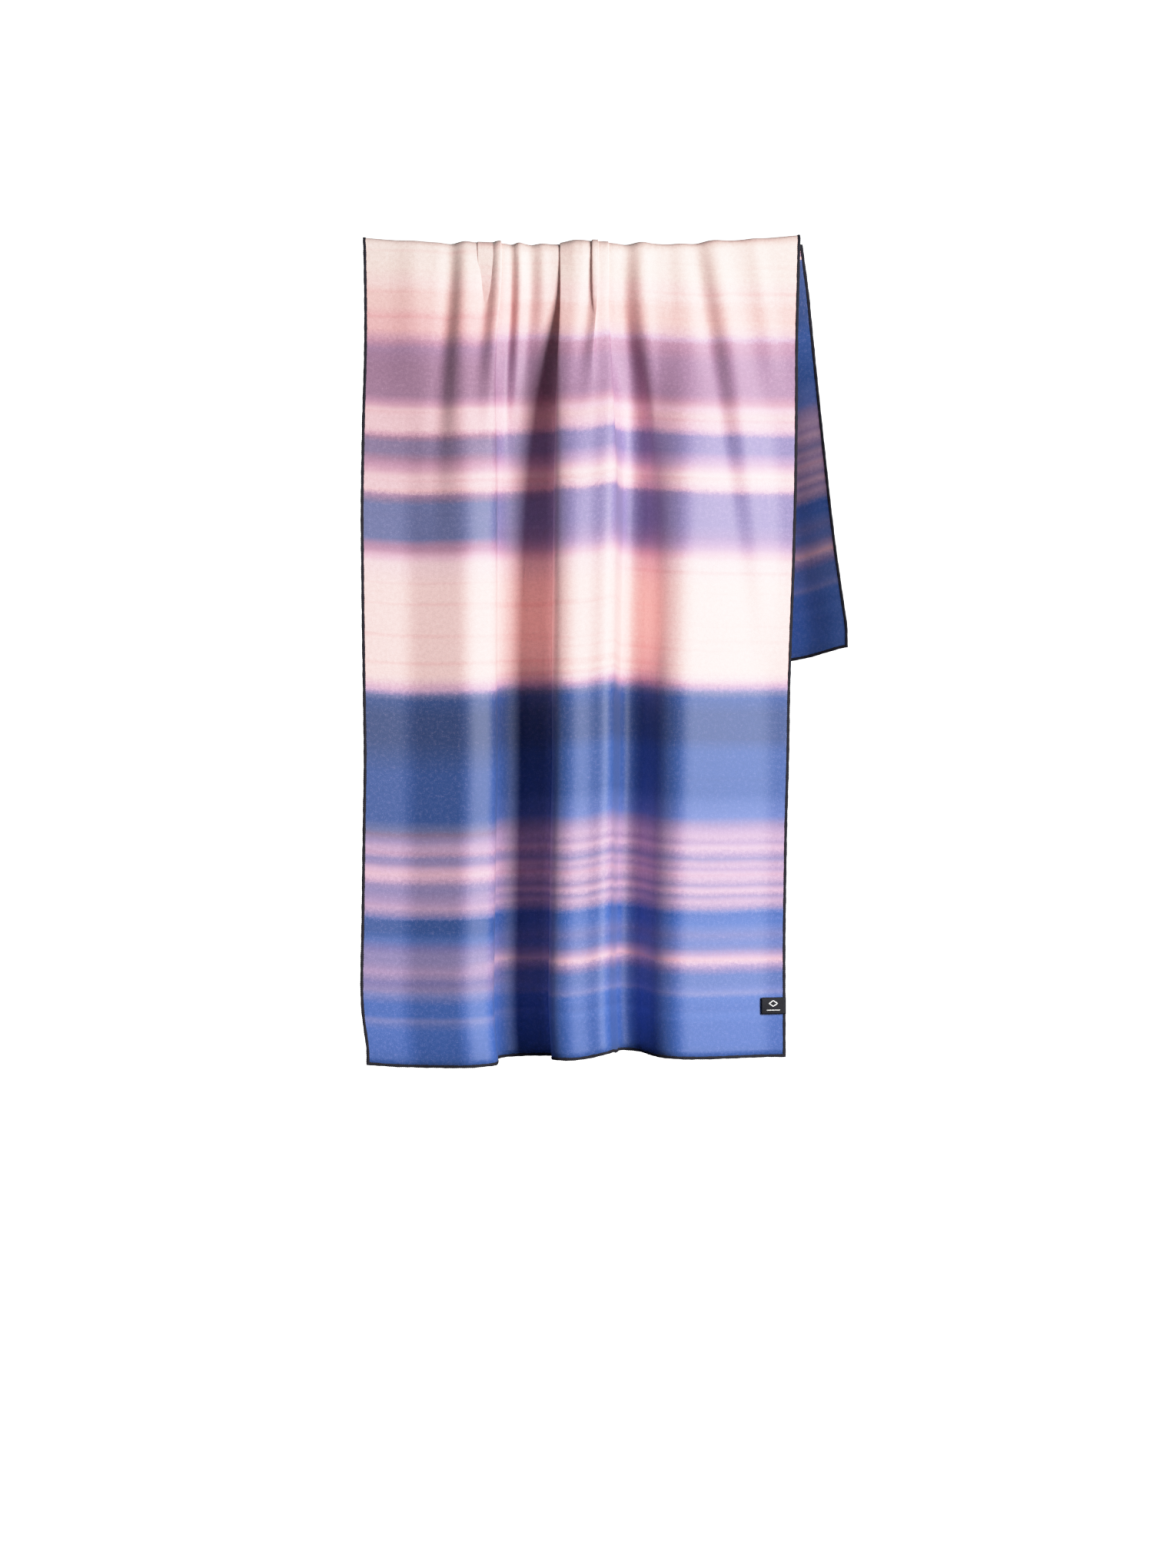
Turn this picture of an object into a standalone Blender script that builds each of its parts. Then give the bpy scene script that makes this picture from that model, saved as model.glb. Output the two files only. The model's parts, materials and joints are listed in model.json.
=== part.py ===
"""Quick dry towel hanging over a rope: cloth, overlocked edging and a folded woven label.

Metres, +Z up. The origin is on the rope's axis at the middle of the towel's width, and the rope
runs along X. The long drop hangs in front, at -Y, and the short drop hangs behind, at +Y. Each drop
swings about the rope, and the label's leaf swings about the line where its root is sewn down.
"""

import math

import bpy
import numpy as np
from mathutils import Matrix, Vector

# Flat towel
TOWEL_WIDTH = 0.762
TOWEL_LENGTH = 1.524
CLOTH_THICKNESS = 0.0012
EDGE_WIDTH = 0.004

# How it hangs
ROPE_RADIUS = 0.008
SADDLE_WIDTH = 0.547  # the gathered width on the rope
FRONT_DROP = 1.000  # from the rope's axis down to the hem
FRONT_HEM_SHIFT = -0.009
BACK_HEM_SHIFT = 0.036
FRONT_START = -0.070  # how far the first fold of each hem stands from the rope's axis
BACK_START = 0.050
FOLD_REACH = 0.160  # how far below the rope the folds open out
FOLD_BEND = 0.022  # the cloth's width that turns from one heading to the next

# Label
LABEL_LENGTH = 0.036
LABEL_HEIGHT = 0.0210
LABEL_THICKNESS = 0.0008
LABEL_ABOVE_HEM = 0.074
STITCH_COUNT = 6
STITCH_WIDTH = 0.0024
STITCH_HEIGHT = 0.0007
STITCH_PROUD = 0.0003

# Clearances
GAP = 0.0004  # between pieces that touch
SWING_GAP = 0.0006  # between the saddle and a drop's lap, which slides round it
LAP_RISE = math.radians(12)  # how far a drop laps up round the saddle

# Mesh density
CROSS_STEPS = 54
FALL_STEPS = 12
LAP_STEPS = 2
SADDLE_STEPS = 14
FINE_STEPS = 1500

# Each run of a hem from left to right: its flat width in metres, and its heading in degrees, where
# 0 runs along +X and 90 turns straight back along +Y.
FRONT_RUNS = (
    (0.084, -11),
    (0.055, -23),
    (0.036, 47),
    (0.058, 80),
    (0.040, 40),
    (0.024, -15),
    (0.066, -92),
    (0.052, 5),
    (0.087, 82),
    (0.030, -12),
    (0.053, -62),
    (0.025, -25),
    (0.040, 30),
    (0.052, 25),
    (0.060, 30),
)
BACK_RUNS = (
    (0.070, 44),
    (0.070, -46),
    (0.060, 54),
    (0.060, -56),
    (0.065, 52),
    (0.065, -56),
    (0.075, 48),
    (0.075, -50),
    (0.090, 22),
    (0.132, 4),
)

# Finishes: base colour, roughness
CLOTH_FINISH = ((0.62, 0.52, 0.68, 1.0), 0.9)
EDGING_FINISH = ((0.02, 0.02, 0.027, 1.0), 0.75)
LABEL_FINISH = ((0.012, 0.012, 0.016, 1.0), 0.6)
THREAD_FINISH = ((0.03, 0.03, 0.035, 1.0), 0.7)

SADDLE_RADIUS = ROPE_RADIUS + CLOTH_THICKNESS / 2
LAP_RADIUS = SADDLE_RADIUS + CLOTH_THICKNESS + SWING_GAP
BACK_DROP = TOWEL_LENGTH - FRONT_DROP - math.pi * SADDLE_RADIUS
FRONT, BACK = -1, 1  # the side of the rope, as the sign of Y
DROPS = {FRONT: FRONT_DROP, BACK: BACK_DROP}
EDGE_SHARE = EDGE_WIDTH / TOWEL_WIDTH
GAP_SHARE = GAP / TOWEL_WIDTH


def material(name, finish):
    made = bpy.data.materials.new(name)
    made.use_nodes = True
    shader = made.node_tree.nodes["Principled BSDF"]
    shader.inputs["Base Color"].default_value = finish[0]
    shader.inputs["Roughness"].default_value = finish[1]
    shader.inputs["Metallic"].default_value = 0.0
    return made


def fold_line(runs, centre_x, start_y):
    """The hem seen from above: positions across the flat towel from 0 to 1, and their x and y."""
    widths = np.array([run[0] for run in runs])
    ends = np.cumsum(widths) / widths.sum()
    share = (np.arange(FINE_STEPS) + 0.5) / FINE_STEPS
    heading = np.radians([runs[i][1] for i in np.searchsorted(ends, share)])
    reach = int(FOLD_BEND / TOWEL_WIDTH * FINE_STEPS) // 2
    padded = np.pad(heading, reach, mode="edge")
    window = np.ones(2 * reach + 1) / (2 * reach + 1)
    smooth = np.convolve(padded, window, mode="valid")
    step = TOWEL_WIDTH / FINE_STEPS
    x = np.concatenate([[0], np.cumsum(np.cos(smooth) * step)])
    y = np.concatenate([[0], np.cumsum(np.sin(smooth) * step)])
    x += centre_x - x[-1] / 2
    return np.linspace(0, 1, FINE_STEPS + 1), x, y + start_y


FRONT_LINE = fold_line(FRONT_RUNS, FRONT_HEM_SHIFT, FRONT_START)
BACK_LINE = fold_line(BACK_RUNS, BACK_HEM_SHIFT, BACK_START)


def saddle_x(line, across):
    """Where a strip of the towel crosses the rope: the hem's spacing, drawn in to the saddle."""
    share, x, _ = line
    hem_width = x[-1] - x[0]
    return (np.interp(across, share, x) - x[0]) / hem_width * SADDLE_WIDTH - SADDLE_WIDTH / 2


def drop_point(line, side, across, fall):
    """A point on a drop, for side -1 in front or 1 behind. A negative fall is on the lap.

    The strips of cloth run straight from the saddle to the hem as seen from the front, and open
    out into the folds within the first stretch below the rope.
    """
    share, hem_x, hem_y = line
    top_x = saddle_x(line, across)
    top_y = side * LAP_RADIUS
    if fall < 0:
        rise = -fall / LAP_RADIUS
        return Vector((top_x, top_y * math.cos(rise), LAP_RADIUS * math.sin(rise)))
    opened = 1 - math.exp(-((fall / FOLD_REACH) ** 2))
    x = top_x + (np.interp(across, share, hem_x) - top_x) * fall / DROPS[side]
    y = top_y + (np.interp(across, share, hem_y) - top_y) * opened
    return Vector((x, y, -fall))


def add_sheet(name, rows, look, thickness=CLOTH_THICKNESS):
    """A closed sheet through rows of points, thickened equally to both sides."""
    across = len(rows[0])
    points = [point for row in rows for point in row]
    faces = [
        (r * across + c, r * across + c + 1, (r + 1) * across + c + 1, (r + 1) * across + c)
        for r in range(len(rows) - 1)
        for c in range(across - 1)
    ]
    mesh = bpy.data.meshes.new(name)
    mesh.from_pydata(points, [], faces)
    mesh.shade_smooth()
    mesh.materials.append(look)
    made = bpy.data.objects.new(name, mesh)
    bpy.context.scene.collection.objects.link(made)
    solidify = made.modifiers.new("Thickness", "SOLIDIFY")
    solidify.thickness = thickness
    solidify.offset = 0.0
    solidify.use_even_offset = False
    return made


def spread(start, end, steps):
    return [start + (end - start) * i / steps for i in range(steps + 1)]


def fall_steps(drop):
    """Distances down a drop, closer together near the rope, where the folds open."""
    return [drop * (i / FALL_STEPS) ** 1.4 for i in range(FALL_STEPS + 1)]


def add_drop(name, line, side, looks):
    """A drop's cloth, its two side edgings and its hem edging, hinged on the rope's axis."""
    pivot = bpy.data.objects.new(f"{name}_pivot", None)
    bpy.context.scene.collection.objects.link(pivot)
    drop = DROPS[side]
    hem_top = drop - EDGE_WIDTH
    lap = spread(-LAP_RADIUS * LAP_RISE, 0, LAP_STEPS)[:-1]
    sides = lap + fall_steps(drop)
    body = lap + fall_steps(hem_top - GAP)
    hem = [hem_top, drop]
    inside = (EDGE_SHARE + GAP_SHARE, 1 - EDGE_SHARE - GAP_SHARE)
    patches = (
        (f"cloth_{name}", inside, CROSS_STEPS, body, looks["cloth"]),
        (f"edging_left_{name}", (0, EDGE_SHARE), 1, sides, looks["edging"]),
        (f"edging_right_{name}", (1 - EDGE_SHARE, 1), 1, sides, looks["edging"]),
        (f"edging_hem_{name}", inside, CROSS_STEPS, hem, looks["edging"]),
    )
    for patch, (low, high), steps, falls, look in patches:
        columns = spread(low, high, steps)
        rows = [[drop_point(line, side, across, fall) for across in columns] for fall in falls]
        add_sheet(patch, rows, look).parent = pivot


def add_saddle(looks):
    """The half turn of cloth that lies on the rope, with its two edgings."""
    half = SADDLE_WIDTH / 2
    edge = EDGE_WIDTH * SADDLE_WIDTH / TOWEL_WIDTH
    spans = (
        ("cloth_saddle", -half + edge + GAP, half - edge - GAP, looks["cloth"]),
        ("edging_left_saddle", -half, -half + edge, looks["edging"]),
        ("edging_right_saddle", half - edge, half, looks["edging"]),
    )
    angles = spread(math.radians(0), math.radians(180), SADDLE_STEPS)
    for name, low, high, look in spans:
        rows = [
            [
                Vector((x, -SADDLE_RADIUS * math.cos(a), SADDLE_RADIUS * math.sin(a)))
                for x in (low, high)
            ]
            for a in angles
        ]
        add_sheet(name, rows, look)


def label_frame():
    """Where the label's root starts on the right edge: X inwards, Y out from the cloth, Z up."""
    fall = FRONT_DROP - LABEL_ABOVE_HEM
    edge = drop_point(FRONT_LINE, FRONT, 1.0, fall)
    inner = drop_point(FRONT_LINE, FRONT, 1.0 - LABEL_LENGTH / TOWEL_WIDTH, fall)
    above = drop_point(FRONT_LINE, FRONT, 1.0, fall - LABEL_HEIGHT)
    up = (above - edge).normalized()
    inwards = (inner - edge).normalized()
    out = up.cross(inwards).normalized()
    inwards = out.cross(up)
    turn = Matrix((inwards, out, up)).transposed().to_4x4()
    return Matrix.Translation(edge) @ turn


def add_block(name, low, high, place, look, parent):
    """A box between two corners given in the label's own frame."""
    corners = [
        Vector((x, y, z)) for x in (low[0], high[0]) for y in (low[1], high[1])
        for z in (low[2], high[2])
    ]
    faces = [(0, 1, 3, 2), (4, 6, 7, 5), (0, 4, 5, 1), (2, 3, 7, 6), (0, 2, 6, 4), (1, 5, 7, 3)]
    mesh = bpy.data.meshes.new(name)
    mesh.from_pydata(corners, [], faces)
    mesh.materials.append(look)
    made = bpy.data.objects.new(name, mesh)
    bpy.context.scene.collection.objects.link(made)
    made.matrix_world = place
    made.parent = parent
    made.matrix_parent_inverse = Matrix()
    return made


def add_label(looks):
    """The folded label: a root sewn onto the edging, its stitches and the leaf that swings."""
    place = label_frame()
    back = CLOTH_THICKNESS / 2 + GAP
    face = back + LABEL_THICKNESS
    half = LABEL_HEIGHT / 2
    pivot = bpy.data.objects.new("label_pivot", None)
    bpy.context.scene.collection.objects.link(pivot)
    pivot.matrix_world = place @ Matrix.Translation((EDGE_WIDTH, face, 0))
    add_block("label_root", (0, back, -half), (EDGE_WIDTH - GAP / 2, face, half), place,
              looks["label"], None)
    leaf_low = (GAP / 2, -LABEL_THICKNESS, -half)
    leaf_high = (LABEL_LENGTH - EDGE_WIDTH, 0, half)
    leaf = add_block("label_leaf", leaf_low, leaf_high, Matrix(), looks["label"], pivot)
    leaf.location = (0, 0, 0)
    pitch = LABEL_HEIGHT / STITCH_COUNT
    middle = EDGE_WIDTH / 2
    for i in range(STITCH_COUNT):
        z = -half + pitch * (i + 0.5)
        low = (middle - STITCH_WIDTH / 2, face + GAP, z - STITCH_HEIGHT / 2)
        high = (middle + STITCH_WIDTH / 2, face + GAP + STITCH_PROUD, z + STITCH_HEIGHT / 2)
        add_block(f"label_stitch_{i + 1}", low, high, place, looks["thread"], None)


def main():
    for old in list(bpy.data.objects):
        bpy.data.objects.remove(old)
    looks = {
        "cloth": material("cloth", CLOTH_FINISH),
        "edging": material("edging", EDGING_FINISH),
        "label": material("label", LABEL_FINISH),
        "thread": material("thread", THREAD_FINISH),
    }
    add_saddle(looks)
    add_drop("front", FRONT_LINE, FRONT, looks)
    add_drop("back", BACK_LINE, BACK, looks)
    add_label(looks)


main()
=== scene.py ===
"""Quick dry towel hanging over a rope: printed suede cloth in folds, overlocked edging and a label."""

import json
import math

import bpy
import numpy as np
from mathutils import Matrix, Vector

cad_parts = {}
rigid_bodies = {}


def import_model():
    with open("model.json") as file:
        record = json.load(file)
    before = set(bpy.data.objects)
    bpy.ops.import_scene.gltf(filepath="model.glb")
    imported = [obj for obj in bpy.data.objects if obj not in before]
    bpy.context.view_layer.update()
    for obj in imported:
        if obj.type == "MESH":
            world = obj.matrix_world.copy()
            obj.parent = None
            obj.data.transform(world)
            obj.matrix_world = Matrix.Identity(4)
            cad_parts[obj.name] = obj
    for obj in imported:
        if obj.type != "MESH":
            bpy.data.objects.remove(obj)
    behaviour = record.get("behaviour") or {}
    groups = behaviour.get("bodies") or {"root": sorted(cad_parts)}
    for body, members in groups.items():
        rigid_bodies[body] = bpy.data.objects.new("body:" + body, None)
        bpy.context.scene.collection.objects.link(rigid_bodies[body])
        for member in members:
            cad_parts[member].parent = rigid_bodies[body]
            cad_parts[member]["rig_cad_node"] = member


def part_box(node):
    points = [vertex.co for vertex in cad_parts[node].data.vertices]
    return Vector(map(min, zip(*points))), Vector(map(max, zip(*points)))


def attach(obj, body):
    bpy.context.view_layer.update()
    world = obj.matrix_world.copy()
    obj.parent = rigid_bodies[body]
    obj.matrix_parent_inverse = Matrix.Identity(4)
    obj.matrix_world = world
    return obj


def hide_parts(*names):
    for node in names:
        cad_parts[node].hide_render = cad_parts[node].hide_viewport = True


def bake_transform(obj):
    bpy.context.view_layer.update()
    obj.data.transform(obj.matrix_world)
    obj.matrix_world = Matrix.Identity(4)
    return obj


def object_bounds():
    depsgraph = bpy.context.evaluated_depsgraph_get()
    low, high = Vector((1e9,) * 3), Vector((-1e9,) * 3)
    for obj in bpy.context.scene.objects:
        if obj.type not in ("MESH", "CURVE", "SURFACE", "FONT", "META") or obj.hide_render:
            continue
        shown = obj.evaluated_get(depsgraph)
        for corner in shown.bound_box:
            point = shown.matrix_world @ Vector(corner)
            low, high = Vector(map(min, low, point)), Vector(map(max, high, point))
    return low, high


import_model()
CAD_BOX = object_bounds()

bl_info = {
    "name": "Quick Dry Towel",
    "version": (1, 0, 0),
    "blender": (4, 5, 0),
    "location": "3D View > Sidebar > Towel",
    "description": "Builds a quick dry towel hanging in folds over a rope",
    "category": "Add Mesh",
}

MM = 0.001
SADDLE_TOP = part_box("cloth_saddle")[1][2]
# From the rope's axis to the middle of the cloth that lies on it
ROPE_TURN = SADDLE_TOP - 0.0006
# Half the towel's width on the rope, and how much higher its right end stands
ROPE_HALF = 0.272
ROPE_TILT = 0.0006

# Each run of the cloth from left to right: its flat width in millimetres, its heading on the rope and
# its heading at the hem, in degrees. 0 runs along +X and 90 straight out from the rope.
FRONT_RUNS = (
    (56, 0, -8),
    (72, 2, 12),
    (34, 5, -24),
    (29, -180, -88),
    (31, 0, -96),
    (24, 0, -56),
    (24, 0, -12),
    (32, 0, 8),
    (30, 0, 92),
    (30, 180, 95),
    (18, 13, 34),
    (16, 0, -6),
    (14, 0, -24),
    (8, -180, 4),
    (8, 0, 6),
    (7, 0, -16),
    (6, 0, -50),
    (43, -180, -82),
    (43, 0, -84),
    (20, -3, 6),
    (46, -3, 62),
    (20, 0, 36),
    (14, 0, 8),
    (54, 0, -20),
    (57, 0, -22),
    (26, 0, -4),
)
BACK_RUNS = (
    (35, 0, -38),
    (50, 0, 44),
    (45, 2, -42),
    (45, 5, 46),
    (29, -180, -60),
    (29, 0, 38),
    (40, 0, -36),
    (24, 0, 30),
    (33, 0, 58),
    (33, 180, 8),
    (12, 13, -30),
    (40, 0, -30),
    (43.5, -180, -34),
    (43.5, 0, 46),
    (30, -3, -40),
    (46, -3, 30),
    (40, -3, 30),
    (46, 0, 8),
    (36, 0, -30),
    (32, 0, -38),
    (30, 0, -34),
)

# The towel's outline: distance below the rope's axis, and across, both in millimetres
FRONT_LEFT = ((-22, -268.9), (30, -267.6), (90, -266.4), (150, -265.6), (220, -266.4), (340, -267.2),
              (450, -265.8), (640, -263.0), (740, -264.8), (830, -265.9), (905, -267.6), (935, -267.4),
              (960, -265.0), (993, -259.0))
FRONT_RIGHT = ((-22, 267.9), (10, 267.4), (90, 266.4), (180, 266.0), (255, 265.4), (320, 264.4),
               (405, 262.0), (460, 259.8), (545, 256.8), (635, 255.6), (720, 253.2), (860, 251.2),
               (945, 251.4), (993, 251.6))
BACK_LEFT = ((-22, -268.9), (40, -268.0), (250, -262.0), (510, -258.0))
BACK_RIGHT = ((-22, 267.9), (10, 273.1), (65, 281.3), (150, 290.2), (210, 296.6), (270, 303.2),
              (325, 309.0), (380, 315.6), (435, 323.4), (481, 330.2))

# The hems' height across the flat towel, in millimetres
FRONT_HEM = ((0, -987.5), (25, -990.5), (60, -992.0), (120, -991.5), (165, -989.5), (205, -988.0),
             (265, -986.5), (330, -985.0), (370, -984.5), (402, -984.5), (424, -979.5), (440, -975.5),
             (452, -976.0), (480, -980.5), (525, -981.0), (590, -986.0), (650, -988.5), (762, -988.5))
BACK_HEM = ((0, -499), (150, -503), (400, -506), (600, -504), (670, -499.5), (700, -495), (762, -481))

# The longest drop that is worked out below the rope, and how much closer its rows are at the top
LONGEST_FALL = 1.06
ROW_GRADING = 1.35

# How wide a turn between two runs is on the rope, how much wider it is at the hem, and the distance
# in which it widens
TURN_WIDTH = 0.0020
TURN_GROWTH = 0.028
TURN_REACH = 0.15

# The share taken off the depth of the front's folds under the rope, the distance in which the depth
# comes back, and the distance in which it is first taken off
SHALLOW_SHARE = 0.62
SHALLOW_REACH = 0.25
SHALLOW_START = 0.03

# How far each drop's left edge stands out from the rope once the folds have opened
FRONT_STAND = 0.061
BACK_STAND = 0.036

# The least distance that the back drop keeps from the rope once its folds have opened, so that it
# hangs clear of the front drop's deepest folds
BACK_CLEAR = 0.033

# How far the front drop's deepest folds may reach behind the rope's front
FRONT_DEEPEST = 0.032
# How far the front leans back for each metre down, which brings its edge to the label's hinge
FRONT_LEAN = 0.0167

# Small puckers where the cloth is gathered on the rope: across the flat towel at the rope and where
# the pucker ends, its length down the towel, half width and height, all in millimetres
FRONT_PUCKERS = (
    (58, 58, 330, 15, 3.6),
    (103, 92, 340, 10, -6.5),
    (118, 112, 320, 12, 7.0),
    (147, 139, 210, 7, -5.0),
    (158, 154, 230, 7, 5.0),
    (236, 238, 270, 6, -4.6),
    (246, 251, 270, 6, 5.4),
    (262, 262, 160, 7, -3.6),
    (278, 276, 160, 7, 3.0),
    (402, 394, 200, 7, -5.0),
    (414, 412, 180, 7, 4.0),
    (444, 440, 160, 6, -3.4),
    (546, 538, 360, 11, -6.0),
    (566, 566, 360, 12, 6.8),
    (600, 604, 120, 7, -1.6),
    (632, 716, 560, 12, -5.0),
    (654, 744, 560, 15, 6.0),
    (704, 746, 260, 10, 2.6),
)

# How far the gathers draw the cloth to the right along the rope: across the flat towel, and the
# distance, both in millimetres
CROWN_DRAW = ((0, 0), (140, 9), (170, 10), (330, 0), (762, 0))

# The dyes of the print, as 0 to 255 display values
DYES = {
    "ink": (33, 62, 119),
    "midnight": (37, 70, 132),
    "navy": (38, 77, 147),
    "indigo": (44, 84, 156),
    "marine": (48, 91, 171),
    "royal": (57, 98, 178),
    "cobalt": (71, 100, 170),
    "denim": (84, 107, 178),
    "slate": (97, 104, 152),
    "wisteria": (102, 110, 172),
    "periwinkle": (110, 120, 182),
    "dusk": (120, 112, 168),
    "smoke": (127, 108, 144),
    "iris": (137, 125, 173),
    "orchid": (150, 130, 174),
    "heather": (156, 116, 144),
    "mulberry": (163, 124, 156),
    "lilac": (168, 140, 181),
    "rosewood": (184, 135, 161),
    "thistle": (189, 154, 187),
    "rose": (206, 155, 173),
    "petal": (207, 166, 194),
    "pink": (226, 178, 196),
    "shell": (234, 188, 194),
    "peach": (241, 182, 182),
    "melon": (247, 196, 191),
    "blush": (244, 204, 208),
    "cream": (254, 211, 207),
    "ivory": (253, 221, 212),
    "milk": (255, 231, 223),
}

# The print, from a hem upwards: distance from the hem in millimetres, its dye on the left half and
# its dye on the right half. The colour runs evenly from one row to the next.
PRINT_BANDS = (
    (0, "indigo", "indigo"),
    (18, "marine", "marine"),
    (44, "royal", "marine"),
    (52, "denim", "royal"),
    (57, "periwinkle", "royal"),
    (63, "royal", "marine"),
    (76, "royal", "royal"),
    (82, "denim", "periwinkle"),
    (88, "periwinkle", "denim"),
    (95, "iris", "cobalt"),
    (104, "dusk", "cobalt"),
    (111, "orchid", "dusk"),
    (117, "lilac", "lilac"),
    (123, "orchid", "pink"),
    (130, "iris", "lilac"),
    (138, "iris", "wisteria"),
    (144, "dusk", "denim"),
    (155, "cobalt", "wisteria"),
    (162, "indigo", "denim"),
    (169, "navy", "royal"),
    (180, "navy", "marine"),
    (183, "wisteria", "denim"),
    (189, "orchid", "orchid"),
    (196, "thistle", "thistle"),
    (203, "lilac", "orchid"),
    (210, "orchid", "petal"),
    (217, "iris", "orchid"),
    (224, "orchid", "thistle"),
    (231, "petal", "petal"),
    (237, "pink", "lilac"),
    (243, "petal", "thistle"),
    (250, "orchid", "iris"),
    (256, "iris", "lilac"),
    (263, "thistle", "petal"),
    (270, "thistle", "lilac"),
    (278, "orchid", "thistle"),
    (286, "smoke", "lilac"),
    (291, "slate", "orchid"),
    (303, "navy", "denim"),
    (318, "navy", "cobalt"),
    (332, "navy", "indigo"),
    (360, "navy", "indigo"),
    (382, "midnight", "indigo"),
    (400, "ink", "midnight"),
    (432, "ink", "midnight"),
    (450, "midnight", "navy"),
    (457, "slate", "slate"),
    (460, "orchid", "iris"),
    (465, "petal", "thistle"),
    (470, "pink", "pink"),
    (476, "blush", "blush"),
    (483, "cream", "cream"),
    (590, "cream", "cream"),
    (619, "blush", "blush"),
    (627, "pink", "pink"),
    (635, "rosewood", "thistle"),
    (642, "mulberry", "lilac"),
    (650, "slate", "orchid"),
    (666, "slate", "iris"),
    (692, "slate", "iris"),
    (698, "smoke", "iris"),
    (704, "mulberry", "orchid"),
    (710, "shell", "pink"),
    (720, "shell", "blush"),
    (727, "shell", "blush"),
    (734, "rose", "pink"),
    (742, "rosewood", "thistle"),
    (749, "heather", "lilac"),
    (757, "smoke", "iris"),
    (770, "smoke", "iris"),
    (776, "heather", "iris"),
    (781, "rose", "thistle"),
    (787, "shell", "pink"),
    (802, "shell", "shell"),
    (811, "shell", "pink"),
    (816, "rose", "rose"),
    (822, "rosewood", "rosewood"),
    (830, "heather", "mulberry"),
    (870, "heather", "mulberry"),
    (893, "mulberry", "rosewood"),
    (900, "rosewood", "petal"),
    (907, "rose", "shell"),
    (920, "peach", "melon"),
    (938, "peach", "melon"),
    (950, "melon", "cream"),
    (963, "melon", "cream"),
    (978, "cream", "ivory"),
    (1000, "ivory", "ivory"),
    (1060, "milk", "ivory"),
)
# How many rows of the print one colour ramp takes
RAMP_STOPS = 31

# The back drop stays navy up to the rope: distance from its hem, and the distance whose colour it
# has, both in metres
BACK_PRINT = ((0.0, 0.400, 0.486, 0.494, 0.60), (0.0, 0.385, 0.430, 0.910, 1.02))

# The print's length as hung, as a share of the table above
PRINT_STRETCH = 0.984

# Light on the cloth, and the brightness that it is shown at
HIGHLIGHTS = ((0.3, 0.3), (0.6, 0.6), (0.8, 0.77), (1.0, 0.88), (1.2, 0.95), (1.4, 0.985))


class TowelClothSettings(bpy.types.PropertyGroup):
    """Sizes and finish of the printed cloth."""

    flat_width: bpy.props.FloatProperty(
        name="Flat width", description="Width of the towel laid flat", default=0.762, unit="LENGTH")
    flat_length: bpy.props.FloatProperty(
        name="Flat length", description="Length of the towel laid flat", default=1.524, unit="LENGTH")
    thickness: bpy.props.FloatProperty(
        name="Thickness", description="Thickness of the cloth", default=0.0008, unit="LENGTH")
    rope_sag: bpy.props.FloatProperty(
        name="Rope sag", description="How far the rope's middle hangs below the towel's sides",
        default=0.0128, unit="LENGTH")
    opening: bpy.props.FloatProperty(
        name="Fold opening", description="Distance below the rope in which the folds open",
        default=0.150, unit="LENGTH")
    roughness: bpy.props.FloatProperty(
        name="Roughness", description="Roughness of the brushed face", default=0.60, subtype="FACTOR")


class TowelEdgingSettings(bpy.types.PropertyGroup):
    """Sizes and colour of the overlocked edging."""

    width: bpy.props.FloatProperty(
        name="Width", description="Width of the edging", default=0.0042, unit="LENGTH")
    depth: bpy.props.FloatProperty(
        name="Depth", description="Thickness of the edging", default=0.0022, unit="LENGTH")
    pitch: bpy.props.FloatProperty(
        name="Stitch pitch", description="Distance from one overlock stitch to the next",
        default=0.0025, unit="LENGTH")
    thread: bpy.props.FloatVectorProperty(
        name="Thread", description="Colour of the edging thread", default=(0.012, 0.011, 0.016),
        subtype="COLOR")


class TowelLabelSettings(bpy.types.PropertyGroup):
    """Sizes and colours of the folded label."""

    length: bpy.props.FloatProperty(
        name="Length", description="Length of the label from its sewn end", default=0.0298,
        unit="LENGTH")
    height: bpy.props.FloatProperty(
        name="Height", description="Height of the label", default=0.0208, unit="LENGTH")
    ground: bpy.props.FloatVectorProperty(
        name="Ground", description="Colour of the woven ground", default=(0.006, 0.006, 0.009),
        subtype="COLOR")
    mark: bpy.props.FloatVectorProperty(
        name="Mark", description="Colour of the woven mark", default=(0.72, 0.72, 0.70),
        subtype="COLOR")


class TowelStageSettings(bpy.types.PropertyGroup):
    """Camera and light."""

    camera_distance: bpy.props.FloatProperty(
        name="Camera distance", description="From the camera to the rope", default=4.55,
        unit="LENGTH")
    camera_height: bpy.props.FloatProperty(
        name="Camera height", description="Camera's height above the rope's axis", default=-0.528,
        unit="LENGTH")
    key_power: bpy.props.FloatProperty(
        name="Key power", description="Power of the key light", default=200.0, unit="POWER")
    fill_power: bpy.props.FloatProperty(
        name="Fill power", description="Power of the fill light", default=9.0, unit="POWER")


# ---------------------------------------------------------------- cloth surfaces


def smooth_rows(values, reach):
    """A moving average along an array, which keeps its ends."""
    padded = np.pad(values, reach, mode="edge")
    window = np.ones(2 * reach + 1) / (2 * reach + 1)
    return np.convolve(padded, window, mode="valid")


def through(table, places):
    """Values in metres read from a table in millimetres, rounded off at its points."""
    keys = np.array([row[0] for row in table]) * MM
    values = np.array([row[1] for row in table]) * MM
    fine = np.linspace(keys[0], keys[-1], 600)
    curve = smooth_rows(np.interp(fine, keys, values), 14)
    return np.interp(places, fine, curve)


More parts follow.
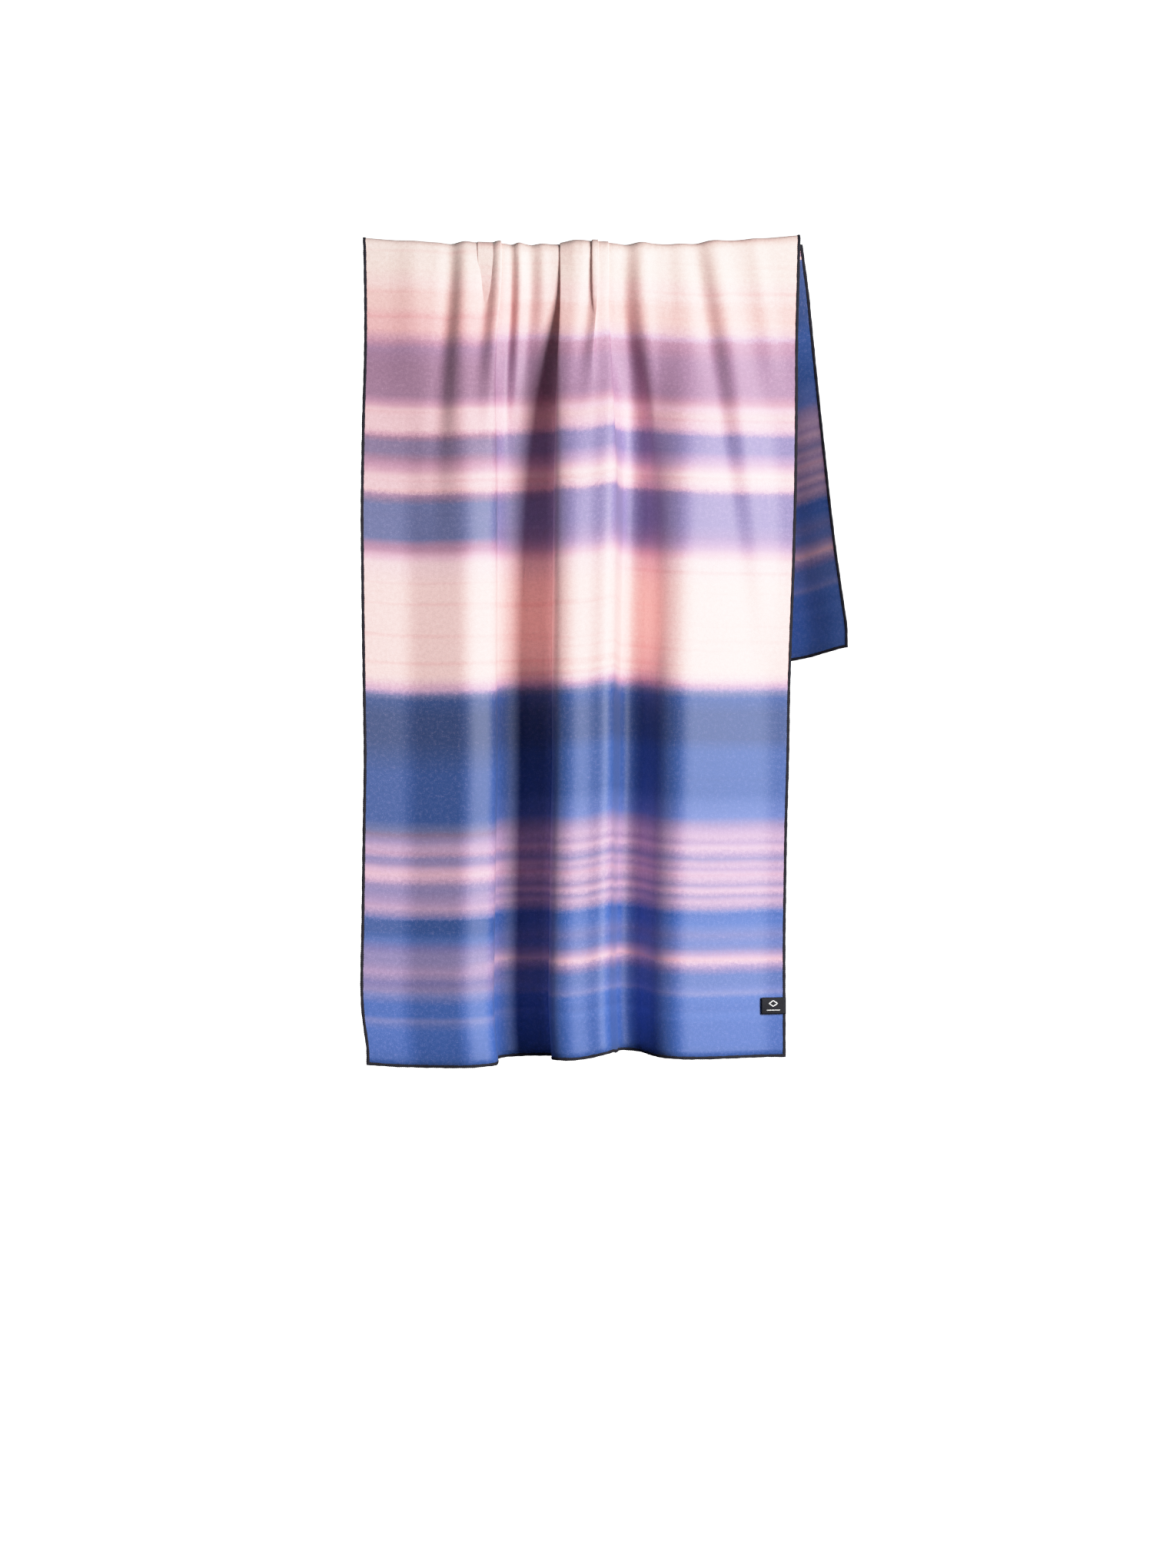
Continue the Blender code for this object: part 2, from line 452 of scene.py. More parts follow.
def column_places(width, runs):
    """Where the mesh's columns stand across the flat towel: closer together at the tight pleats."""
    edges = np.cumsum([run[0] for run in runs])[:-1] * MM
    turns = np.abs(np.diff([run[1] for run in runs])) > 90
    places = list(np.linspace(0, width, 232))
    for edge in edges[turns]:
        places += list(edge + np.linspace(-1.6, 1.6, 9) * MM)
    places = np.array(sorted(places))
    keep = np.concatenate([[True], np.diff(places) > 0.25 * MM])
    keep[-1] = True
    return places[keep]


def rope_height(x, sag):
    share = x / ROPE_HALF
    return sag * share**2 + ROPE_TILT * share


def pucker_height(puckers, place, fall):
    """Small folds that start on the rope and die away down the drop."""
    total = 0.0
    for start, end, length, half, height in puckers:
        along = np.clip(fall / (length * MM), 0, None)
        centre = (start + (end - start) * np.minimum(along, 1)) * MM
        wide = half * MM * (1 + 0.7 * np.minimum(along, 1))
        fade = np.exp(-(along**3) * 1.6) * (0.34 + 0.66 * (1 - np.exp(-fall / 0.05)))
        total = total + height * MM * fade * np.exp(-(((place - centre) / wide) ** 2))
    return total


def fold_section(runs, places, opened, window):
    """Across and out from the rope, for one row of cloth at its full depth of fold."""
    width = sum(run[0] for run in runs) * MM
    steps = 3048
    fine = (np.arange(steps) + 0.5) / steps * width
    edges = np.cumsum([run[0] for run in runs])[:-1] * MM
    heading = np.array([run[1] + (run[2] - run[1]) * opened for run in runs], float)
    turn = np.full(steps, heading[0])
    for k, edge in enumerate(edges):
        share = np.clip((fine - edge) / window + 0.5, 0, 1)
        turn += (heading[k + 1] - heading[k]) * share * share * (3 - 2 * share)
    angle = np.radians(turn)
    step = width / steps
    across = np.concatenate([[0], np.cumsum(np.cos(angle))]) * step
    out = np.concatenate([[0], np.cumsum(np.sin(angle))]) * step
    grid = np.linspace(0, width, steps + 1)
    return np.interp(places, grid, across), np.interp(places, grid, out)


def drop_surface(side, runs, outline, hem, stand, puckers, cloth):
    """A drop from the top of the rope to past its hem. side is -1 in front and 1 behind.

    Returns the columns' places across, each row's length of cloth from the top of the rope, the
    points' x, y and z as rows by columns, and the hem's height at each column.
    """
    places = column_places(cloth.flat_width, FRONT_RUNS)
    radius = ROPE_TURN
    quarter = radius * math.pi / 2
    falls = np.concatenate([
        np.linspace(0, quarter, 7),
        quarter + LONGEST_FALL * np.linspace(0, 1, 241)[1:] ** ROW_GRADING,
    ])
    rows = []
    push = []
    for fall in falls:
        below = max(fall - quarter, 0)
        opened = 1 - math.exp(-((below / cloth.opening) ** 2))
        window = TURN_WIDTH + TURN_GROWTH * (1 - math.exp(-((below / TURN_REACH) ** 2)))
        across, out = fold_section(runs, places, opened, window)
        low = through(outline[0], np.array([below]))[0]
        high = through(outline[1], np.array([below]))[0]
        if fall < quarter:
            low = outline[0][0][1] * MM
            high = outline[1][0][1] * MM
        x = low + (across - across[0]) / (across[-1] - across[0]) * (high - low)
        shallow = 0.0 if side > 0 else SHALLOW_SHARE * math.exp(-((below / SHALLOW_REACH) ** 2))
        shallow *= 1 - math.exp(-((below / SHALLOW_START) ** 2))
        h = (out + stand * opened) * (1 - shallow) + pucker_height(puckers, places, fall)
        clear = 1 - math.exp(-((below / 0.06) ** 2))
        least = BACK_CLEAR * clear if side > 0 else -FRONT_DEEPEST - FRONT_LEAN * below
        push.append(max(0.0, least - h.min()))
        x = x + through(CROWN_DRAW, places) * (1 - opened)
        rows.append((x, h))
    x = np.array([row[0] for row in rows])
    h = np.array([row[1] for row in rows]) + smooth_rows(np.array(push), 14)[:, None]
    angle = np.minimum(falls / radius, math.pi / 2)[:, None]
    y = side * (radius + h) * np.sin(angle)
    z = rope_height(x, cloth.rope_sag) + (radius + h) * np.cos(angle)
    for i in range(7, len(falls)):
        step = falls[i] - falls[i - 1]
        flat = (x[i] - x[i - 1]) ** 2 + (y[i] - y[i - 1]) ** 2
        z[i] = z[i - 1] - np.sqrt(np.maximum(step**2 - flat, (0.25 * step) ** 2))
    target = through(hem, places)
    return places, falls, x, y, z, target


def resample(places, falls, x, y, z, target, graded):
    """Rows of points from the top of the rope to the hem, and each point's distance from the hem."""
    count = len(places)
    points = np.zeros((len(graded), count, 3))
    from_hem = np.zeros((len(graded), count))
    for c in range(count):
        length = np.interp(-target[c], -z[:, c], falls)
        fall = graded * length
        for k, values in enumerate((x, y, z)):
            points[:, c, k] = np.interp(fall, falls, values[:, c])
        from_hem[:, c] = length - fall
    return points, from_hem


def graded_rows(first, rest):
    """Rows from 0 on top of the rope to 1 at the hem, closer together near the rope."""
    near = np.linspace(0, 1, first, endpoint=False) * 0.0142
    low = 0.0142 + (1 - 0.0142) * np.linspace(0, 1, rest) ** 1.3
    return np.concatenate([near, low])


def front_grid(cloth):
    """The front piece: from behind the rope, over it and down to the front hem."""
    made = drop_surface(-1, FRONT_RUNS, (FRONT_LEFT, FRONT_RIGHT), FRONT_HEM, FRONT_STAND,
                        FRONT_PUCKERS, cloth)
    points, from_hem = resample(*made, graded_rows(6, 130))
    places = made[0]
    over = []
    lengths = []
    top = points[0]
    rise = top[:, 2] - rope_height(top[:, 0], cloth.rope_sag)
    for angle in np.radians([90, 75, 60, 45, 30, 15]):
        row = top.copy()
        row[:, 1] = rise * np.sin(angle)
        row[:, 2] = rope_height(top[:, 0], cloth.rope_sag) + rise * np.cos(angle)
        over.append(row)
        lengths.append(from_hem[0] + ROPE_TURN * angle)
    return places, np.vstack([over, points]), np.vstack([lengths, from_hem])


def back_grid(cloth):
    """The back piece: from where the cloth leaves the rope behind, down to the back hem."""
    made = drop_surface(1, BACK_RUNS, (BACK_LEFT, BACK_RIGHT), BACK_HEM, BACK_STAND,
                        FRONT_PUCKERS[:6], cloth)
    start = ROPE_TURN * math.pi / 2
    places, falls, x, y, z, target = made
    count = len(places)
    rows = np.linspace(0, 1, 84) ** 1.25
    points = np.zeros((len(rows), count, 3))
    from_hem = np.zeros((len(rows), count))
    for c in range(count):
        length = np.interp(-target[c], -z[:, c], falls)
        fall = start + rows * (length - start)
        for k, values in enumerate((x, y, z)):
            points[:, c, k] = np.interp(fall, falls, values[:, c])
        from_hem[:, c] = np.interp(length - fall, BACK_PRINT[0], BACK_PRINT[1])
    return places, points, from_hem


def surface_normals(points):
    """Unit normals of a grid of points, out from the rope's side for rows that run downwards."""
    down = np.gradient(points, axis=0)
    across = np.gradient(points, axis=1)
    normal = np.cross(down, across)
    return normal / np.maximum(np.linalg.norm(normal, axis=2, keepdims=True), 1e-12)


def grid_faces(rows, columns, offset=0, flip=False):
    index = np.arange(rows * columns).reshape(rows, columns) + offset
    faces = np.stack([index[:-1, :-1], index[1:, :-1], index[1:, 1:], index[:-1, 1:]], axis=-1)
    faces = faces.reshape(-1, 4)
    return faces[:, ::-1] if flip else faces


def new_object(name, points, faces, look=None):
    mesh = bpy.data.meshes.new(name)
    mesh.from_pydata(points.tolist(), [], faces.tolist())
    mesh.update()
    mesh.shade_smooth()
    if look is not None:
        mesh.materials.append(look)
    made = bpy.data.objects.new(name, mesh)
    bpy.context.scene.collection.objects.link(made)
    return made


def write_places(made, name, values):
    attribute = made.data.attributes.new(name, "FLOAT_VECTOR", "POINT")
    attribute.data.foreach_set("vector", np.asarray(values, np.float32).ravel())


def closed_sheet(name, points, places, from_hem, thickness, look, outwards):
    """A grid of points as a closed sheet with both faces and a rim."""
    rows, columns = points.shape[:2]
    normal = surface_normals(points) * outwards
    outer = points + normal * thickness / 2
    inner = points - normal * thickness / 2
    count = rows * columns
    both = np.concatenate([outer.reshape(-1, 3), inner.reshape(-1, 3)])
    front = grid_faces(rows, columns, 0, outwards < 0)
    behind = grid_faces(rows, columns, count, outwards > 0)
    index = np.arange(count).reshape(rows, columns)
    loop = np.concatenate([index[0, :], index[1:, -1], index[-1, -2::-1], index[-2:0:-1, 0]])
    after = np.roll(loop, -1)
    rim = np.stack([loop, after, after + count, loop + count], axis=-1)
    if outwards < 0:
        rim = rim[:, ::-1]
    made = new_object(name, both, np.concatenate([front, behind, rim]), look)
    across = np.broadcast_to(places, (rows, columns)).ravel()
    flat = np.stack([across, from_hem.ravel(), np.zeros(count)], axis=-1)
    write_places(made, "flat_place", np.concatenate([flat, flat]))
    return made


# ---------------------------------------------------------------- materials


def linear(colour):
    """Display values from 0 to 255 as linear light."""
    share = np.array(colour, float) / 255
    return np.where(share <= 0.04045, share / 12.92, ((share + 0.055) / 1.055) ** 2.4)


def new_group(name, inputs, outputs):
    group = bpy.data.node_groups.new(name, "ShaderNodeTree")
    for socket, kind, default in inputs:
        made = group.interface.new_socket(name=socket, in_out="INPUT", socket_type=kind)
        if default is not None:
            made.default_value = default
    for socket, kind in outputs:
        group.interface.new_socket(name=socket, in_out="OUTPUT", socket_type=kind)
    start = group.nodes.new("NodeGroupInput")
    end = group.nodes.new("NodeGroupOutput")
    return group, start, end


def math_node(tree, operation, a, b=None, c=None, clamp=False):
    node = tree.nodes.new("ShaderNodeMath")
    node.operation = operation
    node.use_clamp = clamp
    for i, value in enumerate((a, b, c)):
        if value is None:
            continue
        if isinstance(value, (int, float)):
            node.inputs[i].default_value = value
        else:
            tree.links.new(value, node.inputs[i])
    return node.outputs[0]


def mix_node(tree, blend, share, a, b):
    node = tree.nodes.new("ShaderNodeMix")
    node.data_type = "RGBA"
    node.blend_type = blend
    for socket, value in ((node.inputs[0], share), (node.inputs[6], a), (node.inputs[7], b)):
        if isinstance(value, (int, float)):
            socket.default_value = value
        elif isinstance(value, (tuple, list)):
            socket.default_value = value
        else:
            tree.links.new(value, socket)
    return node.outputs[2]


def noise_node(tree, vector, scale, detail=2.0, roughness=0.5):
    node = tree.nodes.new("ShaderNodeTexNoise")
    node.inputs["Scale"].default_value = scale
    node.inputs["Detail"].default_value = detail
    node.inputs["Roughness"].default_value = roughness
    tree.links.new(vector, node.inputs["Vector"])
    return node.outputs["Fac"]


def stretch_node(tree, vector, scale, shift=(0, 0, 0)):
    node = tree.nodes.new("ShaderNodeMapping")
    node.inputs["Scale"].default_value = scale
    node.inputs["Location"].default_value = shift
    tree.links.new(vector, node.inputs["Vector"])
    return node.outputs[0]


def range_node(tree, value, low, high, to_low, to_high):
    node = tree.nodes.new("ShaderNodeMapRange")
    for i, number in zip((1, 2, 3, 4), (low, high, to_low, to_high)):
        node.inputs[i].default_value = number
    tree.links.new(value, node.inputs[0])
    return node.outputs[0]


def fibre_group():
    """Short fibres: a fine speckle as a value round 0.5 and as a height."""
    group, start, end = new_group(
        "Short fibres",
        (("Vector", "NodeSocketVector", None), ("Fineness", "NodeSocketFloat", 900.0)),
        (("Speckle", "NodeSocketFloat"), ("Height", "NodeSocketFloat")),
    )
    scaled = group.nodes.new("ShaderNodeVectorMath")
    scaled.operation = "SCALE"
    group.links.new(start.outputs["Vector"], scaled.inputs[0])
    group.links.new(start.outputs["Fineness"], scaled.inputs["Scale"])
    speckle = noise_node(group, scaled.outputs[0], 1.0, 2.5, 0.65)
    coarse = noise_node(group, scaled.outputs[0], 0.31, 1.0, 0.5)
    both = math_node(group, "ADD", math_node(group, "MULTIPLY", speckle, 0.65),
                     math_node(group, "MULTIPLY", coarse, 0.35))
    group.links.new(both, end.inputs["Speckle"])
    group.links.new(speckle, end.inputs["Height"])
    return group


def group_node(tree, group, **values):
    node = tree.nodes.new("ShaderNodeGroup")
    node.node_tree = group
    for name, value in values.items():
        socket = node.inputs[name]
        if isinstance(value, (int, float)):
            socket.default_value = value
        else:
            tree.links.new(value, socket)
    return node


def ramp_node(tree, value, low, high, stops):
    """A colour ramp over a stretch of the towel's length; stops are (metres, linear colour)."""
    place = range_node(tree, value, low, high, 0.0, 1.0)
    node = tree.nodes.new("ShaderNodeValToRGB")
    tree.links.new(place, node.inputs[0])
    ramp = node.color_ramp
    ramp.interpolation = "LINEAR"
    first, last = ramp.elements[0], ramp.elements[1]
    first.position = 0.0
    first.color = (*stops[0][1], 1.0)
    last.position = 1.0
    last.color = (*stops[-1][1], 1.0)
    for metres, colour in stops[1:-1]:
        made = ramp.elements.new((metres - low) / (high - low))
        made.color = (*colour, 1.0)
    return node.outputs[0]


def print_side(tree, length, side):
    """The printed bands of one half of the towel, from several ramps that follow each other."""
    rows = [(band[0] * MM * PRINT_STRETCH, tuple(float(v) for v in linear(DYES[band[1 + side]])))
            for band in PRINT_BANDS]
    colour = None
    for begin in range(0, len(rows) - 1, RAMP_STOPS):
        part = rows[begin:begin + RAMP_STOPS + 1]
        low, high = part[0][0], part[-1][0]
        ramp = ramp_node(tree, length, low, high, part)
        if colour is None:
            colour = ramp
        else:
            beyond = math_node(tree, "GREATER_THAN", length, low)
            colour = mix_node(tree, "MIX", beyond, colour, ramp)
    return colour


def new_material(name):
    made = bpy.data.materials.new(name)
    made.use_nodes = True
    tree = made.node_tree
    shader = tree.nodes["Principled BSDF"]
    return made, tree, shader


def cloth_material(fibres, cloth):
    made, tree, shader = new_material("printed_suede")
    place = tree.nodes.new("ShaderNodeAttribute")
    place.attribute_name = "flat_place"
    flat = place.outputs["Vector"]
    parts = tree.nodes.new("ShaderNodeSeparateXYZ")
    tree.links.new(flat, parts.inputs[0])
    grain = group_node(tree, fibres, Vector=flat, Fineness=760.0)
    # Band edges wander slowly across the towel and are softened by the grain of the dye
    drift = noise_node(tree, stretch_node(tree, flat, (5.0, 14.0, 1.0)), 1.0, 2.0, 0.5)
    ripple = noise_node(tree, stretch_node(tree, flat, (24.0, 60.0, 1.0), (3, 7, 0)), 1.0, 2.0, 0.6)
    shift = math_node(tree, "ADD", range_node(tree, drift, 0.3, 0.7, -0.0010, 0.0010),
                      range_node(tree, ripple, 0.3, 0.7, -0.0006, 0.0006))
    blur = range_node(tree, grain.outputs["Speckle"], 0.3, 0.7, -0.0016, 0.0016)
    length = math_node(tree, "ADD", parts.outputs["Y"], math_node(tree, "ADD", shift, blur))
    left = print_side(tree, length, 0)
    right = print_side(tree, length, 1)
    sway = noise_node(tree, stretch_node(tree, flat, (3.0, 22.0, 1.0), (9, 1, 0)), 1.0, 3.0, 0.6)
    half = math_node(tree, "ADD", parts.outputs["X"],
                     range_node(tree, sway, 0.25, 0.75, -0.045, 0.045))
    side = range_node(tree, half, 0.15, 0.31, 0.0, 1.0)
    colour = mix_node(tree, "MIX", side, left, right)
    # Fine lines of dye that run across the towel
    streak = noise_node(tree, stretch_node(tree, flat, (1.5, 95.0, 1.0)), 1.0, 1.0, 0.5)
    hue = tree.nodes.new("ShaderNodeSeparateColor")
    tree.links.new(colour, hue.inputs[0])
    pale = range_node(tree, hue.outputs["Green"], 0.16, 0.45, 0.25, 1.0)
    rose = math_node(tree, "MULTIPLY", range_node(tree, streak, 0.54, 0.72, 0.0, 0.42), pale)
    colour = mix_node(tree, "MULTIPLY", rose, colour, (0.90, 0.66, 0.68, 1.0))
    lift = range_node(tree, grain.outputs["Speckle"], 0.50, 0.72, 0.0, 0.34)
    colour = mix_node(tree, "SCREEN", lift, colour, (0.30, 0.22, 0.24, 1.0))
    value = range_node(tree, grain.outputs["Speckle"], 0.28, 0.72, 0.82, 1.14)
    tone = tree.nodes.new("ShaderNodeHueSaturation")
    tree.links.new(value, tone.inputs["Value"])
    tree.links.new(colour, tone.inputs["Color"])
    tree.links.new(tone.outputs[0], shader.inputs["Base Color"])
    rough = range_node(tree, grain.outputs["Speckle"], 0.2, 0.8, cloth.roughness - 0.05,
                       cloth.roughness + 0.06)
    tree.links.new(rough, shader.inputs["Roughness"])
    shader.inputs["Specular IOR Level"].default_value = 0.62
    shader.inputs["IOR"].default_value = 1.6
    shader.inputs["Sheen Weight"].default_value = 0.12
    shader.inputs["Sheen Roughness"].default_value = 0.45
    bump = tree.nodes.new("ShaderNodeBump")
    bump.inputs["Strength"].default_value = 0.25
    bump.inputs["Distance"].default_value = 0.0004
    tree.links.new(grain.outputs["Height"], bump.inputs["Height"])
    tree.links.new(bump.outputs[0], shader.inputs["Normal"])
    return made


def thread_material(name, fibres, colour, fineness, roughness):
    """Dark thread with a twist of paler fibres."""
    made, tree, shader = new_material(name)
    place = tree.nodes.new("ShaderNodeTexCoord")
    grain = group_node(tree, fibres, Vector=place.outputs["Object"], Fineness=fineness)
    lift = range_node(tree, grain.outputs["Speckle"], 0.35, 0.7, 0.0, 1.0)
    dark = (colour[0], colour[1], colour[2], 1.0)
    pale = (colour[0] * 2.0 + 0.003, colour[1] * 2.0 + 0.003, colour[2] * 2.0 + 0.004, 1.0)
    tree.links.new(mix_node(tree, "MIX", lift, dark, pale), shader.inputs["Base Color"])
    rough = range_node(tree, grain.outputs["Speckle"], 0.2, 0.8, roughness - 0.08, roughness + 0.08)
    tree.links.new(rough, shader.inputs["Roughness"])
    shader.inputs["Specular IOR Level"].default_value = 0.15
    shader.inputs["Sheen Weight"].default_value = 0.03
    bump = tree.nodes.new("ShaderNodeBump")
    bump.inputs["Strength"].default_value = 0.5
    bump.inputs["Distance"].default_value = 0.0002
    tree.links.new(grain.outputs["Height"], bump.inputs["Height"])
    tree.links.new(bump.outputs[0], shader.inputs["Normal"])
    return made


def fibres():
    return bpy.data.node_groups.get("Short fibres") or fibre_group()


# ---------------------------------------------------------------- operators


class TOWEL_OT_cloth(bpy.types.Operator):
    """Build the printed cloth in two pieces that meet behind the rope"""

    bl_idname = "towel.cloth"
    bl_label = "Printed cloth"

    def execute(self, context):
        cloth = context.scene.towel_cloth
        look = cloth_material(fibres(), cloth)
        places, points, from_hem = front_grid(cloth)
        front = closed_sheet("towel_front", points, places, from_hem, cloth.thickness, look, -1)
        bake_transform(front)
        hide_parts("cloth_saddle", "cloth_front")
        places, points, from_hem = back_grid(cloth)
        back = closed_sheet("towel_back", points, places, from_hem, cloth.thickness, look, 1)
        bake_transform(back)
        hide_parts("cloth_back")
        return {"FINISHED"}


def edge_path(points, column, inner):
    """A side edge of a grid: its points and the direction into the cloth at each."""
    edge = points[:, column]
    inwards = points[:, inner] - edge
    return edge, inwards / np.linalg.norm(inwards, axis=1, keepdims=True)


def along(path):
    return np.concatenate([[0], np.cumsum(np.linalg.norm(np.diff(path, axis=0), axis=1))])


def overlock_tube(name, edge, inwards, normal, edging, look, extra=0.0):
    """Overlock thread wrapped round an edge: a flat tube whose surface follows the stitches."""
    distance = along(edge)
    total = distance[-1]
    spacing = edging.pitch / 5
    count = int(total / spacing)
    places = np.linspace(-extra, total + extra, count)

    def at(values):
        return np.stack([np.interp(places, distance, values[:, k]) for k in range(3)], axis=-1)

    centre = at(edge)
    inner = at(inwards)
    out = at(normal)
    start = edge[1] - edge[0]
    finish = edge[-1] - edge[-2]
    before = np.minimum(places, 0)[:, None]
    after = np.maximum(places - total, 0)[:, None]
    centre = centre + start / np.linalg.norm(start) * before
    centre = centre + finish / np.linalg.norm(finish) * after
    around = np.linspace(0, 2 * math.pi, 12, endpoint=False)
    phase = places[:, None] / edging.pitch * 2 * math.pi
    wrap = 0.5 + 0.5 * np.cos(phase + 1.3 * np.sin(around)[None, :])
    wobble = 0.06 * np.sin(places * 2 * math.pi / 0.031)
    wobble = wobble + 0.05 * np.sin(places * 2 * math.pi / 0.0117)
    half_width = edging.width / 2 * (0.90 + 0.14 * wrap + wobble[:, None])
    half_depth = edging.depth / 2 * (0.78 + 0.26 * wrap)
    shift = edging.width * 0.36
    a = shift + half_width * np.cos(around)[None, :]
    b = half_depth * np.sin(around)[None, :]
    points = (centre[:, None] + inner[:, None] * a[..., None] + out[:, None] * b[..., None])
    rings = len(places)
    sides = len(around)
    index = np.arange(rings * sides).reshape(rings, sides)
    nxt = np.roll(index, -1, axis=1)
    faces = np.stack([index[:-1], nxt[:-1], nxt[1:], index[1:]], axis=-1).reshape(-1, 4)
    flat = points.reshape(-1, 3)
    caps = np.array([flat[index[0]].mean(axis=0), flat[index[-1]].mean(axis=0)])
    mesh_points = np.concatenate([flat, caps])
    first = len(flat)
    faces = faces.tolist()
    for k in range(sides):
        faces.append([index[0, k], first, nxt[0, k]])
        faces.append([index[-1, k], nxt[-1, k], first + 1])
    mesh = bpy.data.meshes.new(name)
    mesh.from_pydata(mesh_points.tolist(), [], [[int(v) for v in face] for face in faces])
    mesh.update()
    mesh.shade_smooth()
    mesh.materials.append(look)
    made = bpy.data.objects.new(name, mesh)
    bpy.context.scene.collection.objects.link(made)
    return made


class TOWEL_OT_edging(bpy.types.Operator):
    """Build the overlocked edging round all four sides"""

    bl_idname = "towel.edging"
    bl_label = "Overlocked edging"

    def execute(self, context):
        cloth = context.scene.towel_cloth
        edging = context.scene.towel_edging
        look = thread_material("overlock_thread", fibres(), edging.thread, 1400.0, 0.72)
        grids = {"front": front_grid(cloth), "back": back_grid(cloth)}
        for drop, (places, points, _) in grids.items():
            normal = surface_normals(points)
            for side, column, inner in (("left", 0, 1), ("right", -1, -2)):
                edge, inwards = edge_path(points, column, inner)
                made = overlock_tube(f"edging_{side}_{drop}_thread", edge, inwards,
                                     normal[:, column], edging, look, 0.0004)
                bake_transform(made)
                nodes = [f"edging_{side}_{drop}"]
                if drop == "front":
                    nodes.append(f"edging_{side}_saddle")
                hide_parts(*nodes)
            edge = points[-1]
            inwards = points[-2] - edge
            inwards = inwards / np.linalg.norm(inwards, axis=1, keepdims=True)
            made = overlock_tube(f"edging_hem_{drop}_thread", edge, inwards, normal[-1], edging,
                                 look)
            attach(made, f"{drop}_drop")
            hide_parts(f"edging_hem_{drop}")
        return {"FINISHED"}


def label_place(cloth, label):
    """The label's own frame at the right edge: X inwards, Y out from the cloth, Z up."""
    places, points, _ = front_grid(cloth)
    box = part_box("label_root")
    level = (box[0][2] + box[1][2]) / 2 + 0.001
    edge = points[6:, -1]
    inner = points[6:, int(np.searchsorted(places, places[-1] - label.length))]

    def at(values, z):
        return np.array([np.interp(-z, -values[:, 2], values[:, k]) for k in range(3)])

    middle = at(edge, level)
    up = at(edge, level + label.height / 2) - at(edge, level - label.height / 2)
    up = Vector(up).normalized()
    inwards = Vector(at(inner, level) - middle).normalized()
    out = up.cross(inwards).normalized()
    inwards = out.cross(up)
    turn = Matrix((inwards, out, up)).transposed().to_4x4()
    return Matrix.Translation(middle) @ turn


def leaf_profile(length, layer, gap):
    """The folded leaf from its side: out along the front layer, round the fold and back."""
    half = layer + gap / 2
    steps = 18
    front = [(length * i / steps, half) for i in range(steps)]
    fold = [(length + half * math.sin(a), half * math.cos(a)) for a in np.linspace(0, math.pi, 9)]
    behind = [(length * (steps - i) / steps, -half) for i in range(1, steps + 1)]
    outer = front + fold + behind
    hollow = gap / 2
    inner = [(length * i / steps, -hollow) for i in range(steps)]
    inner += [(length + hollow * math.sin(a), -hollow * math.cos(a))
              for a in np.linspace(0, math.pi, 9)]
    inner += [(length * (steps - i) / steps, hollow) for i in range(1, steps + 1)]
    return outer + inner


def label_bend(along_leaf, up, length, height):
    """How far the leaf stands off the cloth: lifted at its free end and slightly cupped."""
    share = along_leaf / length
    lifted = 0.0016 * share**2 + 0.0005 * math.sin(math.pi * share)
    return lifted - 0.0006 * (2 * up / height) ** 2 * share


def label_mesh(profile, height, place, base, length, steps=12):
    """A profile in the leaf's plane, carried up the label's height and bent."""
    points = []
    for k in range(steps + 1):
        up = -height / 2 + height * k / steps
        for x, y in profile:
            lift = label_bend(x, up, length, height)
            points.append(place @ Vector((x, base + y + lift, up)))
    size = len(profile)
    faces = []
    for k in range(steps):
        for i in range(size):
            j = (i + 1) % size
            faces.append([k * size + i, k * size + j, (k + 1) * size + j, (k + 1) * size + i])
    half = size // 2
    for k, flip in ((0, True), (steps, False)):
        for i in range(half - 1):
            quad = [k * size + i, k * size + i + 1, k * size + size - 2 - i, k * size + size - 1 - i]
            faces.append(quad[::-1] if flip else quad)
    return points, faces


